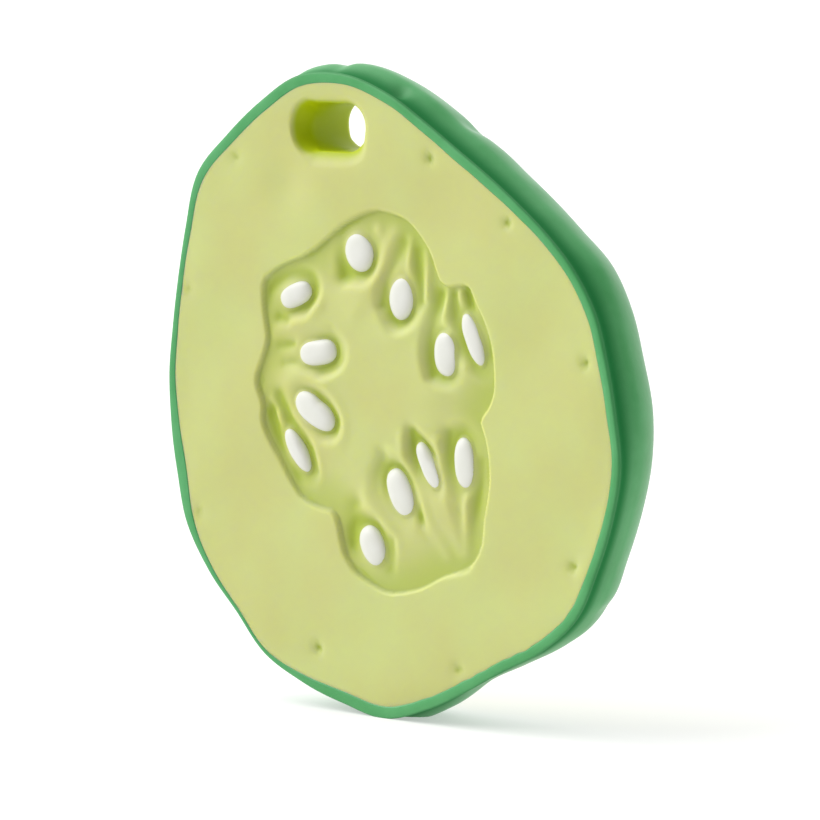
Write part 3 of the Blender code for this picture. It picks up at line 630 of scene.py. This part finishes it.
def add_node(tree, kind, settings=None, values=None, links=None):
    """Node of a kind with its settings, its input values and its links from other nodes' outputs."""
    node = tree.nodes.new(kind)
    for name, value in (settings or {}).items():
        setattr(node, name, value)
    for name, value in (values or {}).items():
        node.inputs[name].default_value = value
    for name, output in (links or {}).items():
        tree.links.new(output, node.inputs[name])
    return node


def new_finish(name):
    """Empty node material with a Principled shader linked to its output."""
    material = bpy.data.materials.new(name)
    material.use_nodes = True
    tree = material.node_tree
    tree.nodes.clear()
    shader = add_node(tree, "ShaderNodeBsdfPrincipled")
    add_node(tree, "ShaderNodeOutputMaterial", links={"Surface": shader.outputs["BSDF"]})
    return material, tree, shader


# Satin moulded natural rubber. The mould's matt skin gives a soft broad sheen, light goes a little
# way in, and the tone drifts by a few per cent over some centimetres. In the hollows and in the hole
# the colour is painted a darker olive: painted shade for the light reflected from wall to wall there.
RUBBER_TONE = "#C3CA83"
RUBBER_WARM_TONE = "#C2C47E"
RUBBER_HOLLOW_SHADE_TONE = "#A5B53E"
RUBBER_HOLE_SHADE_TONE = "#ADBC00"
TONE_PATCH_SIZE = 14.0   # mm
HOLLOW_REACH = 2.0   # mm; a point is in a hollow when it lies below the points this far round it
HOLLOW_DROP = (0.08, 0.65)   # mm below them between which the painted hollow shade sets in
HOLLOW_DEPTH = (0.25, 1.3)   # mm behind the face between which it does as well
INSIDE_DEPTH = (0.1, 1.1)   # mm behind the face between which the hole's painted shade sets in
RELIEF_DEPTH = 2.0   # mm; what lies further behind the face belongs to the rim or the hole
HOLE_REACH = 0.75   # share of the hole's width within which all points behind the face are its own
GRAIN_SIZE = 0.35   # mm
GRAIN_HEIGHT = 0.05   # mm
RUBBER_ROUGHNESS = (0.40, 0.52)
NOISE_MIDDLE = (0.35, 0.65)   # between these lie nearly all of a noise's values

behind_face = np.minimum(moulding_points[:, 1], THICKNESS - moulding_points[:, 1])
from_hole = np.linalg.norm(moulding_points[:, [0, 2]] - hole_middle, axis=1)
in_hole = (from_hole < HOLE_WIDTH * HOLE_REACH) & (behind_face > INSIDE_DEPTH[0])
on_face = (behind_face < RELIEF_DEPTH) & ~in_hole
face_x, face_z = moulding_points[on_face, 0], moulding_points[on_face, 2]
face_turn = np.degrees(np.arctan2(face_z, face_x))
to_edge = np.hypot(face_x, face_z) / np.where(moulding_points[on_face, 1] < THICKNESS / 2,
                                              edge_radius(face_turn), back_edge_radius(face_turn))
around_height = np.mean([
    face_height(face_x + HOLLOW_REACH * math.cos(turn), face_z + HOLLOW_REACH * math.sin(turn))
    for turn in np.arange(6) * math.pi / 3], axis=0)
# Painted shade: the hollow mark darkens the rubber towards olive where it lies below the points round it
# or deep behind the face.
hollow = np.zeros(len(moulding_points))
below_around = ease(around_height - face_height(face_x, face_z), *HOLLOW_DROP)
below_face = ease(behind_face[on_face], *HOLLOW_DEPTH)
hollow[on_face] = np.maximum(below_around, below_face) * (1.0 - ease(to_edge, *FACE_EDGE))
# Painted shade in the hole: the inside mark darkens the rubber towards olive deeper behind the face.
inside = np.where(in_hole, ease(behind_face, *INSIDE_DEPTH), 0.0)
for name, mark in (("hollow", hollow), ("inside", inside)):
    attribute = moulding.data.attributes.new(name, "FLOAT", "POINT")
    attribute.data.foreach_set("value", mark.astype(np.float32))

rubber, tree, shader = new_finish("satin_moulded_rubber")
place = add_node(tree, "ShaderNodeTexCoord").outputs["Object"]
patches = add_node(tree, "ShaderNodeTexNoise", values={
    "Scale": 1.0 / (TONE_PATCH_SIZE * MM), "Detail": 2.0, "Roughness": 0.5}, links={"Vector": place})
patch_share = add_node(tree, "ShaderNodeMapRange", values={
    "From Min": NOISE_MIDDLE[0], "From Max": NOISE_MIDDLE[1]}, links={"Value": patches.outputs["Fac"]})
body_tone = add_node(tree, "ShaderNodeMix", {"data_type": "RGBA"}, {
    6: srgb(RUBBER_TONE), 7: srgb(RUBBER_WARM_TONE)}, {0: patch_share.outputs["Result"]})
# Painted shade in the hollows, mixed into the rubber's colour by the hollow mark.
hollow_shade_mark = add_node(tree, "ShaderNodeAttribute", {"attribute_name": "hollow"})
hollow_shade_tone = add_node(tree, "ShaderNodeMix", {"data_type": "RGBA"}, {
    7: srgb(RUBBER_HOLLOW_SHADE_TONE)}, {0: hollow_shade_mark.outputs["Fac"], 6: body_tone.outputs[2]})
# Painted shade in the hole, mixed into the rubber's colour by the inside mark.
hole_shade_mark = add_node(tree, "ShaderNodeAttribute", {"attribute_name": "inside"})
rubber_tone = add_node(tree, "ShaderNodeMix", {"data_type": "RGBA"}, {
    7: srgb(RUBBER_HOLE_SHADE_TONE)}, {0: hole_shade_mark.outputs["Fac"], 6: hollow_shade_tone.outputs[2]})
grain = add_node(tree, "ShaderNodeTexNoise", values={
    "Scale": 1.0 / (GRAIN_SIZE * MM), "Detail": 2.0}, links={"Vector": place})
grain_bump = add_node(tree, "ShaderNodeBump", values={
    "Strength": 0.12, "Distance": GRAIN_HEIGHT * MM}, links={"Height": grain.outputs["Fac"]})
sheen_spots = add_node(tree, "ShaderNodeMapRange", values={
    "To Min": RUBBER_ROUGHNESS[0], "To Max": RUBBER_ROUGHNESS[1]},
    links={"Value": patches.outputs["Fac"]})
shader.inputs["IOR"].default_value = 1.38
shader.inputs["Subsurface Weight"].default_value = 0.8
shader.inputs["Subsurface Radius"].default_value = (1.0, 0.95, 0.12)
shader.inputs["Subsurface Scale"].default_value = 1.5 * MM
tree.links.new(rubber_tone.outputs[2], shader.inputs["Base Color"])
tree.links.new(sheen_spots.outputs["Result"], shader.inputs["Roughness"])
tree.links.new(grain_bump.outputs["Normal"], shader.inputs["Normal"])
moulding.data.materials.append(rubber)


# The rim's paint. A thin coat of dark green is brushed by hand round the rim, from a slightly wavy
# line at the face's edge to a line on the back edge, and dries flush with the rubber. The coat is a
# closed band: its outer skin follows the rim, and its inner skin lies in the rubber.
COAT_COLUMNS = 800
COAT_ROWS = 84
COAT_INNER_STEP = 7   # the inner skin has every seventh row of the outer one
COAT_THICKNESS = 0.5
COAT_LAP = 0.01   # share of the section by which the coat laps on to the back face
COAT_RISE = 0.03
COAT_SETTLE = 0.09   # how much the coat's skin lies lower away from its edges
RISE_RUN = (-0.001, 0.004)   # share of the coat's width between which its skin rises at an edge
SETTLE_RUN = (0.01, 0.12)   # share of it between which the skin settles again
TUCK_RUN = (-0.02, 0.04)   # share of it between which the inner skin goes down
GROOVE_DEPTH = 1.6   # mm behind the front face
GROOVE_WIDTH = 1.9
GROOVE_RUN = (0.11, 0.18)   # share of the coat's width between which the groove's mark, painted shade and duller gloss, sets in
LINE_INSET = 0.16   # from the face's edge in to the paint's line
LINE_WAVES = (
    (7, 0.05, 0.4, 0.0), (31, 0.02, 1.9, 0.0), (97, 0.045, 0.0, 20.0), (71, 0.045, 0.8, 28.0),
)   # waves round the rim, height, start, and spread in degrees, 0 for all round
LINE_WAVES_MIDDLE = 303.0   # degrees; the direction where the brush left the most marks
coat_degrees = np.arange(COAT_COLUMNS) * 360.0 / COAT_COLUMNS
wander = np.full(COAT_COLUMNS, LINE_INSET)
for waves, height, start, spread in LINE_WAVES:
    gap = np.mod(coat_degrees - LINE_WAVES_MIDDLE + 180.0, 360.0) - 180.0
    near = np.exp(-(gap / spread) ** 2) if spread else 1.0
    wander = wander + near * height * np.sin(waves * np.radians(coat_degrees) + start)
line_place = 1.0 - wander / edge_radius(coat_degrees)
coat_share = np.linspace(0.0, 1.0, COAT_ROWS + 1)[:, None]
coat_rows = line_place + (paint_end(coat_degrees) + COAT_LAP - line_place) * coat_share
coat_columns = np.broadcast_to(coat_degrees, coat_rows.shape)
rim_surface = slice_point(coat_columns, coat_rows)
rim_outward = grid_normals(rim_surface)
from_line = np.minimum(coat_share, 1.0 - coat_share)
groove = np.exp(-((rim_surface[..., 1] - GROOVE_DEPTH) / GROOVE_WIDTH) ** 2)
coat_rise = COAT_RISE * ease(from_line, *RISE_RUN) - COAT_SETTLE * ease(from_line, *SETTLE_RUN)
coat_outside = rim_surface + rim_outward * coat_rise[..., None]
coat_outside[..., 2] = np.maximum(coat_outside[..., 2], floor_level)
coat_sink = COAT_THICKNESS * ease(from_line, *TUCK_RUN)
coat_inside = (rim_surface - rim_outward * coat_sink[..., None])[::-COAT_INNER_STEP]
coat_inside[..., 2] = np.maximum(coat_inside[..., 2], floor_level + 2 * PAINT_SINK)
coat_grid = np.concatenate([coat_outside, coat_inside])
coat_rounds = len(coat_grid)
coat_cells = grid_faces(coat_rounds + 1, COAT_COLUMNS, closed=True).reshape(-1, 4)
coat_cells = coat_cells % (coat_rounds * COAT_COLUMNS)
rim_paint = add_piece("rim_paint", coat_grid.reshape(-1, 3), coat_cells.tolist())
# The groove mark darkens the coat's colour behind the crest as painted shade, and makes it duller.
groove_mark = np.zeros(coat_grid.shape[:2])
groove_mark[:len(groove)] = groove * ease(coat_share, *GROOVE_RUN)
attribute = rim_paint.data.attributes.new("groove", "FLOAT", "POINT")
attribute.data.foreach_set("value", groove_mark.ravel().astype(np.float32))

# Satin brushed paint on rubber. The brush leaves it slightly uneven in tone and gloss. In the groove
# behind the crest the coat is duller, and its green is painted darker there as painted shade.
GREEN_TONE = "#479858"
GREEN_THIN_TONE = "#54A265"
GREEN_GROOVE_SHADE_TONE = "#016C2E"
GROOVE_SHADE_SHARE = 0.95
GROOVE_ROUGHNESS = 0.9
GREEN_ROUGHNESS = (0.26, 0.38)
PAINT_PATCH_SIZE = 9.0   # mm
BRUSH_MARK_SIZE = 1.2   # mm
BRUSH_MARK_HEIGHT = 0.1   # mm
green_paint, tree, shader = new_finish("brushed_green_paint")
place = add_node(tree, "ShaderNodeTexCoord").outputs["Object"]
marks = add_node(tree, "ShaderNodeTexNoise", values={
    "Scale": 1.0 / (PAINT_PATCH_SIZE * MM), "Detail": 4.0, "Roughness": 0.6}, links={"Vector": place})
mark_share = add_node(tree, "ShaderNodeMapRange", values={
    "From Min": NOISE_MIDDLE[0], "From Max": NOISE_MIDDLE[1]}, links={"Value": marks.outputs["Fac"]})
green_tone = add_node(tree, "ShaderNodeMix", {"data_type": "RGBA"}, {
    6: srgb(GREEN_TONE), 7: srgb(GREEN_THIN_TONE)}, {0: mark_share.outputs["Result"]})
groove_mark = add_node(tree, "ShaderNodeAttribute", {"attribute_name": "groove"})
groove_shade_share = add_node(tree, "ShaderNodeMath", {"operation": "MULTIPLY"}, {1: GROOVE_SHADE_SHARE},
                       {0: groove_mark.outputs["Fac"]})
# Painted shade: the groove mark mixes in the darker green.
coat_tone = add_node(tree, "ShaderNodeMix", {"data_type": "RGBA"}, {
    7: srgb(GREEN_GROOVE_SHADE_TONE)}, {0: groove_shade_share.outputs["Value"], 6: green_tone.outputs[2]})
skin = add_node(tree, "ShaderNodeTexNoise", values={
    "Scale": 1.0 / (BRUSH_MARK_SIZE * MM), "Detail": 3.0}, links={"Vector": place})
skin_bump = add_node(tree, "ShaderNodeBump", values={
    "Strength": 0.25, "Distance": BRUSH_MARK_HEIGHT * MM}, links={"Height": skin.outputs["Fac"]})
gloss = add_node(tree, "ShaderNodeMapRange", values={
    "To Min": GREEN_ROUGHNESS[0], "To Max": GREEN_ROUGHNESS[1]},
    links={"Value": marks.outputs["Fac"]})
groove_gloss = add_node(tree, "ShaderNodeMapRange", values={"To Max": GROOVE_ROUGHNESS}, links={
    "Value": groove_mark.outputs["Fac"], "To Min": gloss.outputs["Result"]})
shader.inputs["IOR"].default_value = 1.37
tree.links.new(coat_tone.outputs[2], shader.inputs["Base Color"])
tree.links.new(groove_gloss.outputs["Result"], shader.inputs["Roughness"])
tree.links.new(skin_bump.outputs["Normal"], shader.inputs["Normal"])
rim_paint.data.materials.append(green_paint)


# The seeds. Each is a smooth dome of the moulding with a hand-painted white coat, which ends just
# above the floor of its pocket, so that a thin edge of bare rubber shows round it.
SEED_RINGS = 12
SEED_SPOKES = 56
SEED_SQUARENESS = 2.7
SEED_SINK = 0.12   # how far the coat's edge reaches under the rubber's surface
ring_share = np.sin(np.linspace(0.0, math.pi / 2, SEED_RINGS + 1)[1:])
spoke_turn = np.arange(SEED_SPOKES) * 2 * math.pi / SEED_SPOKES
share_grid, turn_grid = np.meshgrid(ring_share, spoke_turn, indexing="ij")


def seed_coat(seed, front):
    """Closed white cap of one seed: points and faces.

    Its edge lies just under the rubber's surface. From there it rises to the seed's top with the
    root of 1 - s to the power of the squareness, s being the share of the outline's radius. The
    underside is sunk below the edge.
    """
    lean = math.radians(seed[4])
    reach = seed_radius(turn_grid, seed) * share_grid
    x = seed[0] + reach * np.cos(turn_grid + lean)
    z = seed[1] + reach * np.sin(turn_grid + lean)
    edge = face_height(x[-1], z[-1]) - SEED_SINK
    dome = np.sqrt(1.0 - share_grid ** SEED_SQUARENESS)
    height = edge + (SEED_HEIGHT - POCKET_DEPTH - edge) * dome
    middle = np.array([[seed[0], SEED_HEIGHT - POCKET_DEPTH, seed[1]],
                       [seed[0], -POCKET_DEPTH - SEED_SINK, seed[1]]])
    points = np.vstack([np.stack([x, height, z], axis=-1).reshape(-1, 3), middle])
    points[:, 1] = -points[:, 1] if front else THICKNESS + points[:, 1]
    cells = grid_faces(SEED_RINGS, SEED_SPOKES, closed=True).reshape(-1, 4)
    spokes = np.arange(SEED_SPOKES)
    rim = (SEED_RINGS - 1) * SEED_SPOKES
    beside = (spokes + 1) % SEED_SPOKES
    top = np.column_stack([np.full(SEED_SPOKES, len(points) - 2), spokes, beside])
    bottom = np.column_stack([rim + spokes, np.full(SEED_SPOKES, len(points) - 1), rim + beside])
    fans = np.vstack([top, bottom])
    if not front:
        cells, fans = cells[:, ::-1], fans[:, ::-1]
    return points, cells, fans


seed_points, seed_faces, count = [], [], 0
for front in (True, False):
    for seed in SEEDS:
        points, cells, fans = seed_coat(seed, front)
        seed_points.append(points)
        seed_faces += (cells + count).tolist() + (fans + count).tolist()
        count += len(points)
seed_paint = add_piece("seed_paint", np.vstack(seed_points), seed_faces)

# Satin white paint on rubber, a little uneven where the brush left it thin.
WHITE_TONE = "#DCDCD7"
WHITE_THIN_TONE = "#D5D6CC"
THIN_SPOT_SIZE = 2.5   # mm
THIN_SPOT_DEPTH = 0.1   # mm
white_paint, tree, shader = new_finish("brushed_white_paint")
place = add_node(tree, "ShaderNodeTexCoord").outputs["Object"]
thin_spots = add_node(tree, "ShaderNodeTexNoise", values={
    "Scale": 1.0 / (THIN_SPOT_SIZE * MM), "Detail": 3.0}, links={"Vector": place})
white_tone = add_node(tree, "ShaderNodeMix", {"data_type": "RGBA"}, {
    6: srgb(WHITE_TONE), 7: srgb(WHITE_THIN_TONE)}, {0: thin_spots.outputs["Fac"]})
seed_bump = add_node(tree, "ShaderNodeBump", values={
    "Strength": 0.2, "Distance": THIN_SPOT_DEPTH * MM}, links={"Height": thin_spots.outputs["Fac"]})
shader.inputs["IOR"].default_value = 1.5
shader.inputs["Roughness"].default_value = 0.42
tree.links.new(white_tone.outputs[2], shader.inputs["Base Color"])
tree.links.new(seed_bump.outputs["Normal"], shader.inputs["Normal"])
seed_paint.data.materials.append(white_paint)


# The studio: a lit white floor under the slice, a white surround that falls off towards the front
# right, and one large soft lamp up on the left. The camera looks from the slice's right front, a
# little from above, through a long lens.
FLOOR_HALF = 6.0   # m
FLOOR_TONE = "#C4C4C2"
FLOOR_GLOW = 0.45
floor_mesh = bpy.data.meshes.new("floor")
floor_mesh.from_pydata([(-FLOOR_HALF, -FLOOR_HALF, 0.0), (FLOOR_HALF, -FLOOR_HALF, 0.0),
                        (FLOOR_HALF, FLOOR_HALF, 0.0), (-FLOOR_HALF, FLOOR_HALF, 0.0)],
                       [], [(0, 1, 2, 3)])
floor = bpy.data.objects.new("floor", floor_mesh)
bpy.context.scene.collection.objects.link(floor)
paper, tree, shader = new_finish("white_paper")
shader.inputs["Base Color"].default_value = srgb(FLOOR_TONE)
shader.inputs["Roughness"].default_value = 1.0
shader.inputs["Specular IOR Level"].default_value = 0.0
shader.inputs["Emission Color"].default_value = (1.0, 1.0, 1.0, 1.0)
shader.inputs["Emission Strength"].default_value = FLOOR_GLOW
floor.data.materials.append(paper)

DARK_SIDE = (0.66, -0.72, 0.2)
SURROUND_STRENGTH = (1.3, 0.1)   # away from the dark side, and towards it
SURROUND_FALL = (0.0, 0.85)   # how far a direction points to the dark side, from none to 1
world = bpy.data.worlds.new("white_surround")
world.use_nodes = True
tree = world.node_tree
looking = add_node(tree, "ShaderNodeTexCoord").outputs["Generated"]
towards_dark = add_node(tree, "ShaderNodeVectorMath", {"operation": "DOT_PRODUCT"}, {1: DARK_SIDE},
                        {0: looking})
surround_light = add_node(tree, "ShaderNodeMapRange", values={
    "From Min": SURROUND_FALL[0], "From Max": SURROUND_FALL[1],
    "To Min": SURROUND_STRENGTH[0], "To Max": SURROUND_STRENGTH[1]},
    links={"Value": towards_dark.outputs["Value"]})
tree.links.new(surround_light.outputs["Result"], tree.nodes["Background"].inputs["Strength"])
tree.nodes["Background"].inputs["Color"].default_value = (1.0, 1.0, 1.0, 1.0)
bpy.context.scene.world = world
bpy.context.scene.view_settings.view_transform = "Standard"

LAMP_FROM = (-0.56, -0.42, 0.71)
LAMP_SPREAD = 60.0   # degrees
LAMP_STRENGTH = 2.4
lamp = bpy.data.lights.new("soft_lamp", "SUN")
lamp.angle = math.radians(LAMP_SPREAD)
lamp.energy = LAMP_STRENGTH
lamp_holder = bpy.data.objects.new("soft_lamp", lamp)
lamp_holder.rotation_euler = (math.atan2(math.hypot(LAMP_FROM[0], LAMP_FROM[1]), LAMP_FROM[2]), 0.0,
                              math.atan2(LAMP_FROM[1], LAMP_FROM[0]) + math.pi / 2)
bpy.context.scene.collection.objects.link(lamp_holder)

CAMERA_TURN = 40.0   # degrees
CAMERA_SHIFT = 0.00051   # m; how far the camera's aim lies to the right of the slice's foot
CAMERA_AWAY = 0.700   # m
CAMERA_HEIGHT = 0.12515   # m
AIM_HEIGHT = 0.04635   # m
FOCAL_PIXELS = 4670.0
IMAGE_PIXELS = 820.0
SENSOR_WIDTH = 36.0   # mm
camera = bpy.data.cameras.new("camera")
camera.sensor_width = SENSOR_WIDTH
camera.lens = SENSOR_WIDTH * FOCAL_PIXELS / IMAGE_PIXELS
camera_holder = bpy.data.objects.new("camera", camera)
camera_holder.location = (CAMERA_SHIFT + CAMERA_AWAY * math.sin(math.radians(CAMERA_TURN)),
                          -CAMERA_AWAY * math.cos(math.radians(CAMERA_TURN)), CAMERA_HEIGHT)
camera_holder.rotation_euler = (math.pi / 2 - math.atan2(CAMERA_HEIGHT - AIM_HEIGHT, CAMERA_AWAY),
                                0.0, math.radians(CAMERA_TURN))
bpy.context.scene.collection.objects.link(camera_holder)
bpy.context.scene.camera = camera_holder
